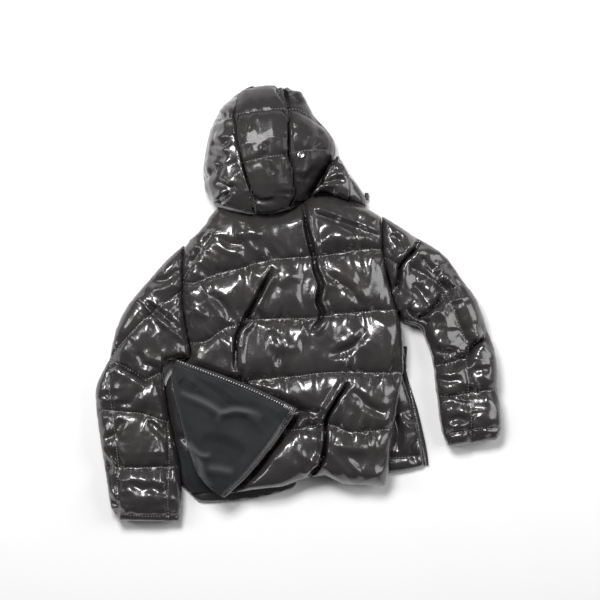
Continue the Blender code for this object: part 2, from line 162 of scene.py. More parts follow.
def sag(piece, tree, edge):
    """Where each point stands between its solid's lower side, 0, and its upper side, 1."""
    co = points_of(piece)
    base, share = np.empty(len(co)), np.empty(len(co))
    up, down = Vector((0, 0, 1)), Vector((0, 0, -1))
    for k, (x, y, z) in enumerate(co):
        low = tree.ray_cast(Vector((x, y, -1)), up)[0]
        high = tree.ray_cast(Vector((x, y, 1)), down)[0]
        if low is None or high is None or high.z - low.z < 2 * MM:
            near = tree.find_nearest(Vector((x, y, z)))[0]
            step = (near - Vector((x, y, near.z)))
            spot = near + (step.normalized() if step.length > 1e-7 else step) * 1.5 * MM
            low = tree.ray_cast(Vector((spot.x, spot.y, -1)), up)[0] or near - up * edge / 2
            high = tree.ray_cast(Vector((spot.x, spot.y, 1)), down)[0] or near + up * edge / 2
        base[k] = low.z
        share[k] = min(max((z - low.z) / max(high.z - low.z, MM), 0.0), 1.0)
    return co, base, share


def folded(plan, folds):
    """How deep each point lies in the folds. A fold is its line, depth, half width and lip."""
    deep, in_fold = np.zeros(len(plan)), np.zeros(len(plan), bool)
    for points, depth, half, lip in folds:
        gap, along, side = distance_to(plan, smooth_line(points))
        length = along.max()
        fade = np.clip(np.minimum(along, length - along) / (0.22 * length), 0, 1) ** 0.5
        ridge = np.exp(-((gap - 2.0 * half) / (1.1 * half)) ** 2)
        deep += depth * fade * (np.exp(-(gap / half) ** 2)
                                - 0.4 * ridge * (side * lip > 0) - 0.1 * ridge)
        in_fold |= (gap < 0.35 * half) & (fade > 0.6)
    return deep, in_fold


def slack(place, seed):
    """Broad, slanting creases in cloth that the filling doesn't quite stretch."""
    x, y = place[0], place[1]
    bend = noise.noise(Vector((x * 9, y * 9, seed + 4)))
    first = abs(noise.noise(Vector((x * 19 + y * 7 + bend, y * 11 - x * 5, seed))))
    second = noise.noise(Vector((x * 13, y * 16, seed + 8)))
    third = abs(noise.noise(Vector((x * 42 - y * 11 + bend, y * 12 + x * 6, seed + 2))))
    return 0.8 * second - 1.35 * first - 0.4 * third + 0.42


def keep_creases(piece, lift):
    """Notes how far each point is creased, so that fill can keep part of it."""
    note = piece.data.attributes.new("crease", "FLOAT", "POINT")
    note.data.foreach_set("value", lift.astype(np.float32))


def quilt(piece, tree, rim, edge, puff, reach, seams, folds=(), pucker=4.2 * MM, seed=1.0,
          crease=5.0 * MM, pressed=None, grown=RIM_GROWN):
    """Raises the filling between the seams, presses in the folds and pins what is sewn.

    A seam is its line, how much of the filling it takes away and how far that is felt.
    """
    co, base, share = sag(piece, tree, edge)
    normals = points_of(piece, "normal")
    plan = co[:, :2]
    out = rim_distance(plan, rim)
    height = edge + puff * round_up(out / reach)
    held = np.zeros(len(co), bool)
    lift = np.array([slack(place, seed) for place in co]) * crease
    for number, (points, depth, half) in enumerate(seams):
        gap, along, side = distance_to(plan, smooth_line(points))
        height *= 1 - depth * (1 - round_up(gap / half))
        lift += puckers(gap, along, side, pucker, seed + number)
        held |= gap < SEWN_REACH
    deep, in_fold = folded(plan, folds)
    held |= in_fold
    inside = round_up(out / (25 * MM))
    keep_creases(piece, lift * inside * share)
    height = height + lift * inside - deep
    if pressed is not None:
        under = pressed(plan)
        height = height * (1 - 0.72 * under) + 0.1 * edge * under
        held |= under > 0.3
    height = np.maximum(height, 0.35 * edge)
    co[:, 2] = base + share * height
    by_rim = 1 - round_up(out / (16 * MM))
    aside = normals[:, :2] * ((grown - TUCKED_UNDER * (1 - share) ** 2) * by_rim)[:, None]
    co[:, :2] += aside
    put_points(piece, co)
    pins = piece.vertex_groups.new(name="sewn")
    pinned = (held & (share > 0.6) & (normals[:, 2] > 0.1)) | (share < 0.08)
    pins.add([int(k) for k in np.nonzero(pinned)[0]], 1.0, "REPLACE")
    return piece


def pinch(piece, folds):
    """Closes each fold: the filling on both sides pushes its lips together."""
    co = points_of(piece)
    for points, depth, half, lip in folds:
        if depth < 10 * MM:
            continue
        line = smooth_line(points)
        for k, (x, y) in enumerate(co[:, :2]):
            away = np.array((x, y)) - line
            gaps = np.hypot(away[:, 0], away[:, 1])
            nearest = int(gaps.argmin())
            if gaps[nearest] > 30 * MM:
                continue
            ends = min(nearest, len(line) - 1 - nearest) / len(line)
            hold = 0.62 * min(ends / 0.15, 1.0) * math.exp(-(gaps[nearest] / (2.2 * half)) ** 2)
            co[k, :2] -= away[nearest] * hold
    put_points(piece, co)


def fill(piece, spare, cap, pressure=3.0, frames=16, folds=()):
    """Blows the filled cloth up. It is cut larger than its place, by spare in X, Y and Z."""
    start = points_of(piece)
    if frames:
        piece.shape_key_add(name="placed")
        cut = piece.shape_key_add(name="cut")
        middle = start.mean(axis=0)
        cut.data.foreach_set("co", (middle + (start - middle) * (1 + np.array(spare))).ravel())
        cloth = piece.modifiers.new("filling", "CLOTH")
        rule = cloth.settings
        rule.quality, rule.mass = 3, 0.2
        rule.tension_stiffness = rule.compression_stiffness = 14
        rule.shear_stiffness, rule.bending_stiffness = 4, 0.04
        rule.use_pressure, rule.uniform_pressure_force = True, pressure
        rule.effector_weights.gravity = 0
        rule.vertex_group_mass = "sewn"
        rule.rest_shape_key = cut
        cloth.collision_settings.use_collision = False
        for number in range(1, frames + 1):
            bpy.context.scene.frame_set(number)
        end = points_of(piece.evaluated_get(bpy.context.evaluated_depsgraph_get()))
        piece.modifiers.remove(cloth)
        piece.shape_key_clear()
        bpy.context.scene.frame_set(1)
        moved = end - start
        far = np.linalg.norm(moved, axis=1, keepdims=True)
        lift = np.empty(len(start), np.float32)
        piece.data.attributes["crease"].data.foreach_get("value", lift)
        piece.data.attributes.remove(piece.data.attributes["crease"])
        put_points(piece, start + moved * np.minimum(1, cap / np.maximum(far, 1e-9)))
        normals = points_of(piece, "normal")
        put_points(piece, points_of(piece) + normals * (CREASE_KEPT * lift)[:, None])
    pinch(piece, folds)
    fine = piece.modifiers.new("fine", "SUBSURF")
    fine.levels = fine.render_levels = 1
    only(piece)
    bpy.ops.object.modifier_apply(modifier="fine")
    shape = bmesh.new()
    shape.from_mesh(piece.data)
    rims = [edge for edge in shape.edges if edge.is_boundary]
    if rims:
        bmesh.ops.holes_fill(shape, edges=rims, sides=0)
    shape.to_mesh(piece.data)
    shape.free()
    bpy.ops.object.shade_smooth()
    return piece


def stands_for(piece, node, finish):
    """Lets a padded piece show in its node's place."""
    piece.data.materials.clear()
    piece.data.materials.append(finish)
    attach(piece, "root")
    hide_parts(node)


class Thread:
    """A socket that can be used in sums, so that shader maths reads as it is written."""

    def __init__(self, tree, socket):
        self.tree, self.socket = tree, socket

    def node(self, kind, settings=None, **inputs):
        """A new node with its settings and the values or links of its inputs."""
        made = self.tree.nodes.new(kind)
        for key, value in (settings or {}).items():
            setattr(made, key, value)
        for key, value in inputs.items():
            place = int(key[1:]) if key[0] == "i" and key[1:].isdigit() else key.replace("_", " ")
            if isinstance(value, Thread):
                self.tree.links.new(value.socket, made.inputs[place])
            else:
                made.inputs[place].default_value = value
        return made

    def out(self, made, place=0):
        return Thread(self.tree, made.outputs[place])

    def maths(self, operation, other):
        return self.out(self.node("ShaderNodeMath", {"operation": operation},
                                  i0=self, i1=other))

    def __add__(self, other):
        return self.maths("ADD", other)

    def __mul__(self, other):
        return self.maths("MULTIPLY", other)

    def clouds(self, scale, detail=3.0, roughness=0.5):
        return self.out(self.node("ShaderNodeTexNoise", {}, Vector=self, Scale=scale,
                                  Detail=detail, Roughness=roughness))

    def blend(self, first, second):
        """A colour between two, by this value."""
        made = self.node("ShaderNodeMix", {"data_type": "RGBA"}, i0=self)
        for place, colour in ((6, first), (7, second)):
            if isinstance(colour, Thread):
                self.tree.links.new(colour.socket, made.inputs[place])
            else:
                made.inputs[place].default_value = (*colour, 1)
        return Thread(self.tree, made.outputs[2])

    def feed(self, shader, place):
        self.tree.links.new(self.socket, shader.inputs[place])


def new_finish(name):
    finish = bpy.data.materials.new(name)
    finish.use_nodes = True
    tree = finish.node_tree
    shader = tree.nodes["Principled BSDF"]
    return finish, shader, Thread(tree, tree.nodes.new("ShaderNodeTexCoord").outputs["Object"])


def coated_nylon(name, warm, cool, polish, coat=BODY_COAT):
    """Tightly woven nylon under a wet-look coating, which creases finely wherever it bends."""
    finish, shader, place = new_finish(name)
    shader.inputs["IOR"].default_value = 1.5
    shader.inputs["Coat Weight"].default_value = coat
    shader.inputs["Specular IOR Level"].default_value = coat * 0.8
    shader.inputs["Coat Roughness"].default_value = 0.09
    crinkle = place.clouds(60.0, 4.0, 0.6)
    fine = place.clouds(420.0, 2.0)
    broad = place.clouds(11.0, 3.0)
    broad.blend(warm, cool).feed(shader, "Base Color")
    (crinkle * 0.14 + polish).feed(shader, "Roughness")
    bump = place.node("ShaderNodeBump", {}, Strength=0.5, Distance=0.002,
                      Height=crinkle + fine * 0.12)
    place.out(bump).feed(shader, "Normal")
    return finish


# A seam's line in millimetres, the share of the filling that it takes, and how far that reaches.
BACK_SEAMS = [
    ([(-256, 45), (-228, 43), (-203, 52), (-168, 65), (-126, 74), (-96, 85), (-52, 94), (-8, 98),
      (34, 100), (100, 109), (149, 116), (184, 116)], 0.5, 46 * MM),
    ([(-245, -89), (-203, -85), (-159, -56), (-126, -47), (-111, -40), (-49, -36), (-5, -36),
      (52, -32), (100, -25), (171, -18), (220, -18)], 0.5, 46 * MM),
    ([(-270, -190), (-150, -179), (-84, -170), (-49, -166), (-5, -162), (48, -155), (107, -153),
      (171, -155), (236, -155)], 0.5, 46 * MM),
    ([(-62, -282), (-12, -280), (26, -272), (59, -265), (90, -276), (118, -285), (171, -280),
      (212, -274)], 0.5, 44 * MM),
    ([(-218, 168), (-190, 153), (-210, 120), (-228, 92), (-254, 50)], 0.3, 18 * MM),
]
# A fold's line in millimetres, its depth, its half width, and on which side its lip rises.
BACK_FOLDS = [
    ([(9, 222), (14, 200), (19, 164), (28, 129), (34, 102), (39, 70), (50, 39), (43, 4),
      (52, -27), (30, -63)], 36 * MM, 5.5 * MM, 1),
    ([(109, -175), (85, -210), (61, -256), (59, -302), (52, -346), (23, -388)], 36 * MM, 5.5 * MM,
     -1),
    ([(-54, 76), (-67, 54), (-96, -1), (-113, -38), (-131, -63), (-137, -102), (-137, -148)],
     32 * MM, 6 * MM, 1),
    ([(28, 197), (80, 180), (177, 144)], 9 * MM, 6 * MM, 1),
    ([(-3, -239), (28, -241), (59, -239)], 9 * MM, 6 * MM, 1),
    ([(-190, 150), (-150, 128), (-120, 128)], 8 * MM, 8 * MM, -1),
    ([(60, 60), (110, 30), (140, -10)], 8 * MM, 9 * MM, 1),
    ([(-60, -60), (-40, -95), (-45, -140)], 8 * MM, 8 * MM, 1),
    ([(150, -60), (120, -95), (70, -120)], 9 * MM, 9 * MM, -1),
    ([(120, -190), (150, -225), (190, -245)], 9 * MM, 9 * MM, 1),
    ([(-190, 20), (-160, -10), (-150, -40)], 9 * MM, 9 * MM, -1),
    ([(38, 122), (80, 140), (130, 138), (165, 128)], -8 * MM, 17 * MM, 0),
    ([(45, 94), (86, 117), (127, 140)], -6 * MM, 38 * MM, 0),
    ([(-140, 146), (-110, 152), (-80, 150)], -7 * MM, 11 * MM, 0),
    ([(-40, 36), (-20, 58), (6, 50)], -6 * MM, 13 * MM, 0),
    ([(-66, -84), (-30, -98), (6, -92)], -7 * MM, 14 * MM, 0),
    ([(80, -308), (110, -318), (150, -322)], -7 * MM, 14 * MM, 0),
    ([(60, 56), (80, 40), (100, 52)], -6 * MM, 10 * MM, 0),
    ([(-232, -8), (-214, -22), (-196, -28)], -7 * MM, 10 * MM, 0),
]
CORNER_OUTLINE = [Vector((-272, -135)) * MM, Vector((-6, -241)) * MM, Vector((-162, -427)) * MM]


def under_the_corner(plan):
    """1 where the turned corner lies on the back, and 0 well away from it."""
    first, tip, low = (np.array(corner) for corner in CORNER_OUTLINE)
    reach = np.full(len(plan), 9.0)
    for start, end in ((first, tip), (tip, low)):
        way = (end - start) / np.linalg.norm(end - start)
        away = start - plan
        reach = np.minimum(reach, way[0] * away[:, 1] - way[1] * away[:, 0])
    share = np.clip((reach + 34 * MM) / (34 * MM), 0, 1)
    return share * share * (3 - 2 * share)


def sew(name, host, lines, finish, pitch=6.4, size=(1.9, 0.75, 0.65)):
    """A row of stitches along each line, on the cloth of the host, all joined in one mesh."""
    cloth = BVHTree.FromObject(host, bpy.context.evaluated_depsgraph_get())
    bpy.ops.object.select_all(action="DESELECT")
    bpy.ops.mesh.primitive_uv_sphere_add(segments=6, ring_count=4, radius=MM)
    first = bpy.context.object
    first.data.transform(Matrix.Diagonal((*size, 1)))
    one = bmesh.new()
    one.from_mesh(first.data)
    corners = [vert.co.copy() for vert in one.verts]
    sides = [[vert.index for vert in face.verts] for face in one.faces]
    one.free()
    bpy.data.objects.remove(first)
    points, faces = [], []
    for line in lines:
        run = smooth_line(line, 1.0)
        length = np.concatenate([[0], np.cumsum(np.linalg.norm(np.diff(run, axis=0), axis=1))])
        for at in np.arange(pitch * MM / 2, length[-1], pitch * MM):
            k = int(np.searchsorted(length, at)) - 1
            k = min(max(k, 1), len(run) - 3)
            way = Vector((*(run[k + 2] - run[k - 1]), 0)).normalized()
            hit, normal, _, _ = cloth.ray_cast(Vector((*run[k], 1)), Vector((0, 0, -1)))
            if hit is None or normal.z < 0.15:
                continue
            way = (way - normal * way.dot(normal)).normalized()
            turn = Matrix((way, normal.cross(way), normal)).transposed()
            start = len(points)
            points += [hit + normal * 0.25 * MM + turn @ corner for corner in corners]
            faces += [[start + index for index in side] for side in sides]
    mesh = bpy.data.meshes.new(name)
    mesh.from_pydata(points, [], faces)
    mesh.shade_smooth()
    row = bpy.data.objects.new(name, mesh)
    bpy.context.scene.collection.objects.link(row)
    mesh.materials.append(finish)
    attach(row, "root")
    return row


nylon = coated_nylon("coated_nylon", (0.036, 0.030, 0.029), (0.021, 0.021, 0.023), 0.2)
thread, thread_shader, _ = new_finish("sewing_thread")
thread_shader.inputs["Base Color"].default_value = (0.24, 0.23, 0.23, 1)
thread_shader.inputs["Roughness"].default_value = 0.35
back, back_tree, back_rim = cloth_body("back", "back_cloth", 4.6 * MM)
quilt(back, back_tree, back_rim, 9 * MM, 36 * MM, 40 * MM, BACK_SEAMS, BACK_FOLDS, seed=1.0,
      pressed=under_the_corner)
fill(back, (0.05, 0.05, 0.0), 9 * MM, pressure=2.2, frames=13, folds=BACK_FOLDS)
stands_for(back, "back", nylon)
sew("back_stitches", back, [seam[0] for seam in BACK_SEAMS], thread)

# ---- Fronts -----------------------------------------------------------------------------------
# Two padded nylon panels under the back, joined by the closed front zip. Only their hems and
# the right one's side edge show.
FRONT_SEAMS = {
    "front_left": [[(-262, 45), (-10, 45)], [(-262, -85), (-10, -65)], [(-266, -170), (-10, -151)],
                   [(-262, -301), (-10, -291)], [(-250, -424), (-130, -415), (-10, -398)]],
    "front_right": [[(16, 45), (190, 60)], [(16, -62), (232, -50)], [(16, -151), (236, -151)],
                    [(16, -241), (190, -236), (214, -246), (262, -238)],
                    [(16, -346), (200, -345), (282, -340)]],
}
FRONT_FOLDS = {
    "front_left": [([(-150, -420), (-120, -425), (-60, -415)], 3 * MM, 4 * MM, 1)],
    "front_right": [([(210, -245), (222, -285), (216, -330)], 12 * MM, 8 * MM, 1),
                    ([(226, -90), (235, -140), (256, -206)], 9 * MM, 7 * MM, 1),
                    ([(262, -300), (255, -330), (262, -360)], 9 * MM, 6 * MM, 1),
                    ([(232, -250), (248, -262), (262, -262)], 8 * MM, 6 * MM, -1)],
}
for number, node in enumerate(("front_left", "front_right")):
    front, front_tree, front_rim = cloth_body(node, node + "_cloth", 6.5 * MM)
    seams = [(line, 0.5, 40 * MM) for line in FRONT_SEAMS[node]]
    quilt(front, front_tree, front_rim, 9 * MM, 20 * MM, 30 * MM, seams, FRONT_FOLDS[node],
          pucker=2.5 * MM, crease=2.5 * MM, seed=20.0 + 9 * number,
          grown=(9 - 7 * number) * MM)
    fill(front, (0.03, 0.03, 0.0), 6 * MM, frames=0)
    stands_for(front, node, nylon)
    sew(node + "_stitches", front, FRONT_SEAMS[node], thread)

# ---- Zips -------------------------------------------------------------------------------------
# Woven tapes with a moulded row of teeth: the front zip, closed, and half of each side zip,
# along the right front's edge and along the turned corner's edge.
tape, tape_shader, tape_place = new_finish("zip_tape")
tape_shader.inputs["Base Color"].default_value = (0.012, 0.012, 0.013, 1)
tape_shader.inputs["Roughness"].default_value = 0.7
weave = tape_place.node("ShaderNodeTexWave", {"bands_direction": "DIAGONAL"},
                        Vector=tape_place, Scale=520.0, Distortion=1.0)
tape_bump = tape_place.node("ShaderNodeBump", {}, Strength=0.3, Distance=0.0004,
                            Height=tape_place.out(weave, 1))
tape_place.out(tape_bump).feed(tape_shader, "Normal")
teeth, teeth_shader, _ = new_finish("coated_teeth")
teeth_shader.inputs["Base Color"].default_value = (0.5, 0.5, 0.51, 1)
teeth_shader.inputs["Metallic"].default_value = 0.7
teeth_shader.inputs["Roughness"].default_value = 0.3


def thin(node, name, finish, cuts, wave):
    """A thin shell on its solid's form, finely divided, with small waves all over it."""
    piece = bpy.data.objects.new(name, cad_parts[node].data.copy())
    bpy.context.scene.collection.objects.link(piece)
    piece.data.materials.clear()
    piece.data.materials.append(finish)
    only(piece)
    bpy.ops.object.mode_set(mode="EDIT")
    bpy.ops.mesh.select_all(action="SELECT")
    bpy.ops.mesh.remove_doubles(threshold=0.00002)
    bpy.ops.mesh.tris_convert_to_quads()
    bpy.ops.mesh.subdivide(number_cuts=cuts)
    bpy.ops.mesh.normals_make_consistent(inside=False)
    bpy.ops.object.mode_set(mode="OBJECT")
    for vert in piece.data.vertices:
        spot = vert.co
        vert.co.z += wave * noise.noise(Vector((spot.x * 60, spot.y * 60, 3.0)))
    bpy.ops.object.shade_smooth_by_angle(angle=math.radians(50))
    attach(piece, "root")
    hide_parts(node)
    return piece


def tooth_row(name, host, line, pitch=4.4, size=(1.1, 2.5, 1.2)):
    """Teeth across a line, one beside the other."""
    row = sew(name, host, [line], teeth, pitch, size)
    bpy.context.view_layer.update()
    return row


front_zip = thin("front_zip", "front_zip_tape", tape,
                 2, 0.0)
tooth_row("front_zip_teeth", front_zip, [(3.5, 178), (3.5, -110), (3.5, -361)])
SIDE_ZIP_EDGE = [(231, -90), (240, -140), (249, -190), (257, -233), (265, -270), (271, -302),
                 (279, -336), (284, -361)]
side_tape = thin("side_zip_tape", "side_tape", tape,
                 1, 0.3 * MM)
tooth_row("side_zip_teeth", side_tape, SIDE_ZIP_EDGE)

# ---- The turned corner ------------------------------------------------------------------------
# The back's lower left corner lies folded over on the back: its nylon shell underneath, its
# plush lining on top, a nylon facing along the hem, and the side zip's tape along the top.
shell, shell_tree, shell_rim = cloth_body("corner_shell", "corner_cloth", 6 * MM)
quilt(shell, shell_tree, shell_rim, 8 * MM, 12 * MM, 30 * MM, [], crease=1.5 * MM, seed=31.0)
fill(shell, (0.0, 0.0, 0.0), 3 * MM, frames=0)
stands_for(shell, "corner_shell", nylon)

plush, plush_shader, plush_place = new_finish("short_plush")
plush_shader.inputs["Roughness"].default_value = 0.85
plush_shader.inputs["Specular IOR Level"].default_value = 0.2
plush_shader.inputs["Sheen Weight"].default_value = 0.28
plush_shader.inputs["Sheen Roughness"].default_value = 0.42
plush_shader.inputs["Sheen Tint"].default_value = (0.66, 0.68, 0.72, 1)
nap = plush_place.clouds(17.0, 3.0)
tuft = plush_place.clouds(900.0, 2.0, 0.7)
# The pile is painted lighter on its fold crests and darker on their sides, from the fold
# attribute: a painted highlight.
painted_crest_light = plush_place.out(plush_place.node("ShaderNodeAttribute", {"attribute_name": "fold"}), 2)
(nap * 0.2 + painted_crest_light).blend((0.006, 0.0062, 0.0068), (0.066, 0.068, 0.072)).feed(
    plush_shader, "Base Color")
plush_bump = plush_place.node("ShaderNodeBump", {}, Strength=0.55, Distance=0.0012,
                              Height=tuft + nap * 2.0)
plush_place.out(plush_bump).feed(plush_shader, "Normal")
LINING_FOLDS = [
    ([(-258, -196), (-230, -206), (-196, -222), (-166, -239), (-140, -236), (-102, -238),
      (-78, -252)], -10 * MM, 7.35 * MM, 0),
    ([(-178, -262), (-168, -244), (-140, -232), (-112, -240), (-84, -262)], -6 * MM, 6.3 * MM, 0),
    ([(-242, -304), (-226, -322), (-206, -333), (-190, -330)], -10 * MM, 6.3 * MM, 0),
    ([(-232, -330), (-214, -352), (-206, -384), (-190, -402)], -10 * MM, 6.3 * MM, 0),
    ([(-201, -360), (-170, -363), (-140, -370)], -7 * MM, 8.4 * MM, 0),
    ([(-258, -170), (-238, -186), (-220, -190)], 8 * MM, 8.4 * MM, 0),
    ([(-214, -300), (-160, -310), (-120, -330)], 6 * MM, 14.7 * MM, 0),
]


def plush_piece(node, name, folds):
    """A soft pile sheet on its solid's form, with its folds raised."""
    piece, tree, rim = cloth_body(node, name, 3.4 * MM, open_below=False)
    co = points_of(piece)
    deep, _ = folded(co[:, :2], folds)
    out = rim_distance(co[:, :2], rim)
    soft = np.array([noise.noise(Vector((x * 16, y * 16, 2.0))) for x, y, _ in co])
    co[:, 2] += (2.2 * MM * soft - deep) * np.clip(out / (8 * MM), 0.15, 1)
    put_points(piece, co)
    # The fold attribute is a painted highlight: it lightens the pile's colour on the fold crests.
    note = piece.data.attributes.new("fold", "FLOAT", "POINT")
    crest = np.clip(-deep / (9 * MM), -0.25, 1) * 0.6 + 0.1 * soft + 0.06
    note.data.foreach_set("value", np.clip(crest, 0, 1).astype(np.float32))
    fill(piece, (0.0, 0.0, 0.0), 0, frames=0)
    piece.data.materials.clear()
    piece.data.materials.append(plush)
    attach(piece, "root")
    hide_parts(node)
    return piece


plush_piece("corner_lining", "plush_lining", LINING_FOLDS)
plush_piece("front_left_lining", "front_plush", [])
facing_nylon = coated_nylon("facing_nylon", (0.085, 0.083, 0.083), (0.060, 0.060, 0.063), 0.2)
facing = thin("corner_hem_facing", "hem_facing", facing_nylon,
              4, 0.8 * MM)
sew("facing_stitches", facing, [[(-24, -256), (-57, -300), (-88, -339), (-121, -378),
                                 (-150, -408)]], thread)
corner_tape = thin("corner_zip_tape", "corner_tape", tape,
                   3, 0.5 * MM)
tooth_row("corner_zip_teeth", corner_tape,
          [(-266, -127), (-210, -148), (-150, -171), (-90, -196), (-40, -220), (-10, -235)],
          6.0, (1.3, 2.7, 1.2))
sew("corner_zip_end", corner_tape, [[(-34, -225), (-20, -232), (-4, -239)]], teeth, 4.4,
    (0.7, 8.0, 0.7))

# ---- Sleeves ----------------------------------------------------------------------------------
# Each is two padded nylon halves with a turned hem, quilted round and along the arm. They lie
# beside the body, the upper half puffed up on the lower one.
SLEEVE_SEAMS = {
    "left": [
        ([(-240, 30), (-258, 23), (-282, 6), (-318, -23), (-348, -47), (-375, -76), (-406, -111),
          (-415, -137), (-415, -181), (-412, -223), (-402, -294), (-397, -353), (-399, -408),
          (-396, -470)], 0.4, 26 * MM),
        ([(-290, -262), (-285, -320), (-285, -373), (-287, -428), (-287, -482)], 0.4, 18 * MM),
        ([(-420, -118), (-400, -134), (-379, -142), (-350, -160), (-333, -168), (-306, -155)],
         0.5, 34 * MM),
        ([(-452, -219), (-437, -234), (-410, -239), (-353, -243), (-320, -252), (-289, -263),
          (-262, -265)], 0.5, 34 * MM),
        ([(-436, -369), (-426, -366), (-397, -360), (-366, -364), (-285, -362), (-262, -364)],
         0.45, 34 * MM),
        ([(-416, -462), (-340, -470), (-262, -468)], 0.3, 14 * MM),
    ],
    "right": [
        ([(275, 95), (300, 60), (318, 34), (325, 23), (342, -18), (356, -56), (373, -98),
          (369, -128), (373, -173), (373, -199), (378, -234), (380, -276), (380, -316)],
         0.4, 22 * MM),
        ([(248, 76), (274, 63), (300, 46), (325, 28), (362, 41), (376, 44)], 0.45, 28 * MM),
        ([(270, -28), (300, -8), (318, 8), (325, 24)], 0.45, 26 * MM),
        ([(290, -142), (338, -131), (369, -118), (391, -87), (420, -70)], 0.5, 30 * MM),
        ([(300, -206), (338, -206), (378, -199), (408, -195), (444, -190)], 0.45, 30 * MM),
        ([(318, -290), (378, -280), (415, -276), (450, -276)], 0.35, 14 * MM),
        ([(184, 102), (202, 92), (222, 78)], 0.3, 16 * MM),
    ],
}
SLEEVE_FOLDS = {
    "left": [
        ([(-366, 22), (-340, 0), (-318, -23), (-282, -54), (-246, -88)], -9 * MM, 7 * MM, 0),
        ([(-350, 8), (-330, -10), (-300, -26), (-262, -62)], 8 * MM, 7 * MM, 1),
        ([(-330, -176), (-345, -166), (-372, -150), (-400, -136)], 10 * MM, 7 * MM, 1),
        ([(-300, -152), (-318, -140), (-340, -132), (-350, -108)], 8 * MM, 8 * MM, -1),
        ([(-300, -128), (-275, -125), (-252, -118)], 10 * MM, 9 * MM, 1),
        ([(-330, -258), (-310, -280), (-290, -300)], 8 * MM, 7 * MM, 1),
        ([(-388, -256), (-400, -286), (-424, -300)], 8 * MM, 8 * MM, -1),
        ([(-370, -395), (-340, -410), (-310, -402)], 7 * MM, 10 * MM, 1),
        ([(-398, 50), (-366, 22), (-350, 30)], 5 * MM, 8 * MM, 1),
        ([(-262, 74), (-290, 50), (-330, 46)], 8 * MM, 9 * MM, 1),
        ([(-262, -10), (-280, -36), (-276, -70)], 6 * MM, 9 * MM, 1),
        ([(-420, -420), (-404, -448), (-408, -478)], 8 * MM, 7 * MM, 1),
        ([(-350, -190), (-366, -214), (-396, -222)], 6 * MM, 9 * MM, 1),
    ],
    "right": [
        ([(268, 133), (260, 124), (248, 109), (226, 85), (222, 59), (215, 23)], 26 * MM, 8 * MM,
         -1),
        ([(240, -6), (252, -26), (274, -40), (290, -48)], 20 * MM, 11 * MM, 1),
        ([(314, 17), (303, -3), (286, -18), (262, -30)], 14 * MM, 9 * MM, 1),
        ([(250, 40), (270, 22), (276, -2)], 8 * MM, 8 * MM, -1),
        ([(374, -118), (391, -90), (410, -82)], 16 * MM, 8 * MM, 1),
        ([(372, -124), (350, -132), (330, -150)], 8 * MM, 8 * MM, -1),
        ([(300, -98), (322, -110), (350, -106)], 8 * MM, 8 * MM, 1),
        ([(382, -150), (400, -146), (420, -150)], 6 * MM, 9 * MM, 1),
        ([(305, -166), (330, -172), (356, -166)], 6 * MM, 7 * MM, 1),
        ([(310, -226), (336, -216), (352, -226)], 6 * MM, 9 * MM, 1),
        ([(330, -262), (350, -254), (372, -262)], 7 * MM, 8 * MM, -1),
        ([(300, 100), (330, 84), (340, 60)], 6 * MM, 10 * MM, 1),
        ([(206, 150), (222, 134), (226, 112)], 9 * MM, 8 * MM, 1),
    ],
}
for number, side in enumerate(("left", "right")):
    for half, frames in (("under", 0), ("upper", 14)):
        node = f"sleeve_{side}_{half}"
        sleeve, sleeve_tree, sleeve_rim = cloth_body(node, node + "_cloth",
                                                     (4.4 if frames else 6.5) * MM)
        quilt(sleeve, sleeve_tree, sleeve_rim, 9 * MM, 25 * MM, 30 * MM, SLEEVE_SEAMS[side],
              SLEEVE_FOLDS[side] if frames else (), pucker=3.0 * MM, crease=4.0 * MM,
              seed=41.0 + 13 * number)
        fill(sleeve, (0.05, 0.05, 0.0), 7 * MM, pressure=2.2, frames=frames,
             folds=SLEEVE_FOLDS[side] if frames else ())
        stands_for(sleeve, node, nylon)
    sew(f"sleeve_{side}_stitches", sleeve, [seam[0] for seam in SLEEVE_SEAMS[side]], thread)

# ---- Hood -------------------------------------------------------------------------------------
# Three padded panels, filled out, with a side front and an edge band that stand between the
# hood and the neck seam. The panels' seams pull deep in, and two panels wear a darker, less
# coated copy of the same nylon: painted shade that dulls the key light's reflection there.
HOOD_SEAMS = [
    ([(-140, 470), (-143, 430), (-144, 404), (-135, 347), (-126, 301), (-113, 259), (-102, 234),
      (-96, 200)], 11 * MM, 26 * MM),
    ([(-34, 486), (-22, 440), (-18, 413), (-16, 371), (-14, 325), (-8, 287), (-3, 228),
      (-5, 200)], 13 * MM, 26 * MM),
    ([(-192, 398), (-165, 404), (-142, 408), (-80, 418), (-21, 422), (-1, 422), (20, 412),
      (52, 398)], 9 * MM, 26 * MM),
    ([(-216, 272), (-192, 281), (-175, 292), (-137, 301), (-126, 301), (-74, 312), (-25, 320),
      (-14, 323), (28, 331), (76, 333)], 9 * MM, 26 * MM),
]
HOOD_FOLDS = [
    ([(-46, 484), (-38, 468), (-28, 450), (-16, 432)], 16 * MM, 8 * MM, 1),
    ([(-20, 466), (-6, 450), (2, 434)], 9 * MM, 6 * MM, 1),
    ([(-190, 214), (-178, 219), (-160, 230), (-148, 238)], 11 * MM, 5 * MM, 1),
    ([(-178, 268), (-160, 252), (-134, 244)], 8 * MM, 7 * MM, 1),
    ([(-190, 350), (-170, 344), (-150, 356)], 8 * MM, 8 * MM, 1),
    ([(-196, 330), (-172, 316), (-150, 322)], 7 * MM, 8 * MM, -1),
    ([(-74, 312), (-66, 328), (-70, 346)], 6 * MM, 6 * MM, 1),
    ([(-74, 308), (-62, 292), (-56, 276)], 6 * MM, 6 * MM, 1),
    ([(-132, 396), (-120, 386), (-118, 370)], 6 * MM, 6 * MM, 1),
    ([(30, 340), (42, 356), (50, 376)], 6 * MM, 9 * MM, 1),
    ([(4, 262), (24, 272), (40, 300)], 6 * MM, 9 * MM, 1),
    ([(-104, 226), (-80, 218), (-50, 222)], 7 * MM, 6 * MM, 1),
    ([(-186, 420), (-168, 410), (-160, 424)], 7 * MM, 7 * MM, 1),
]


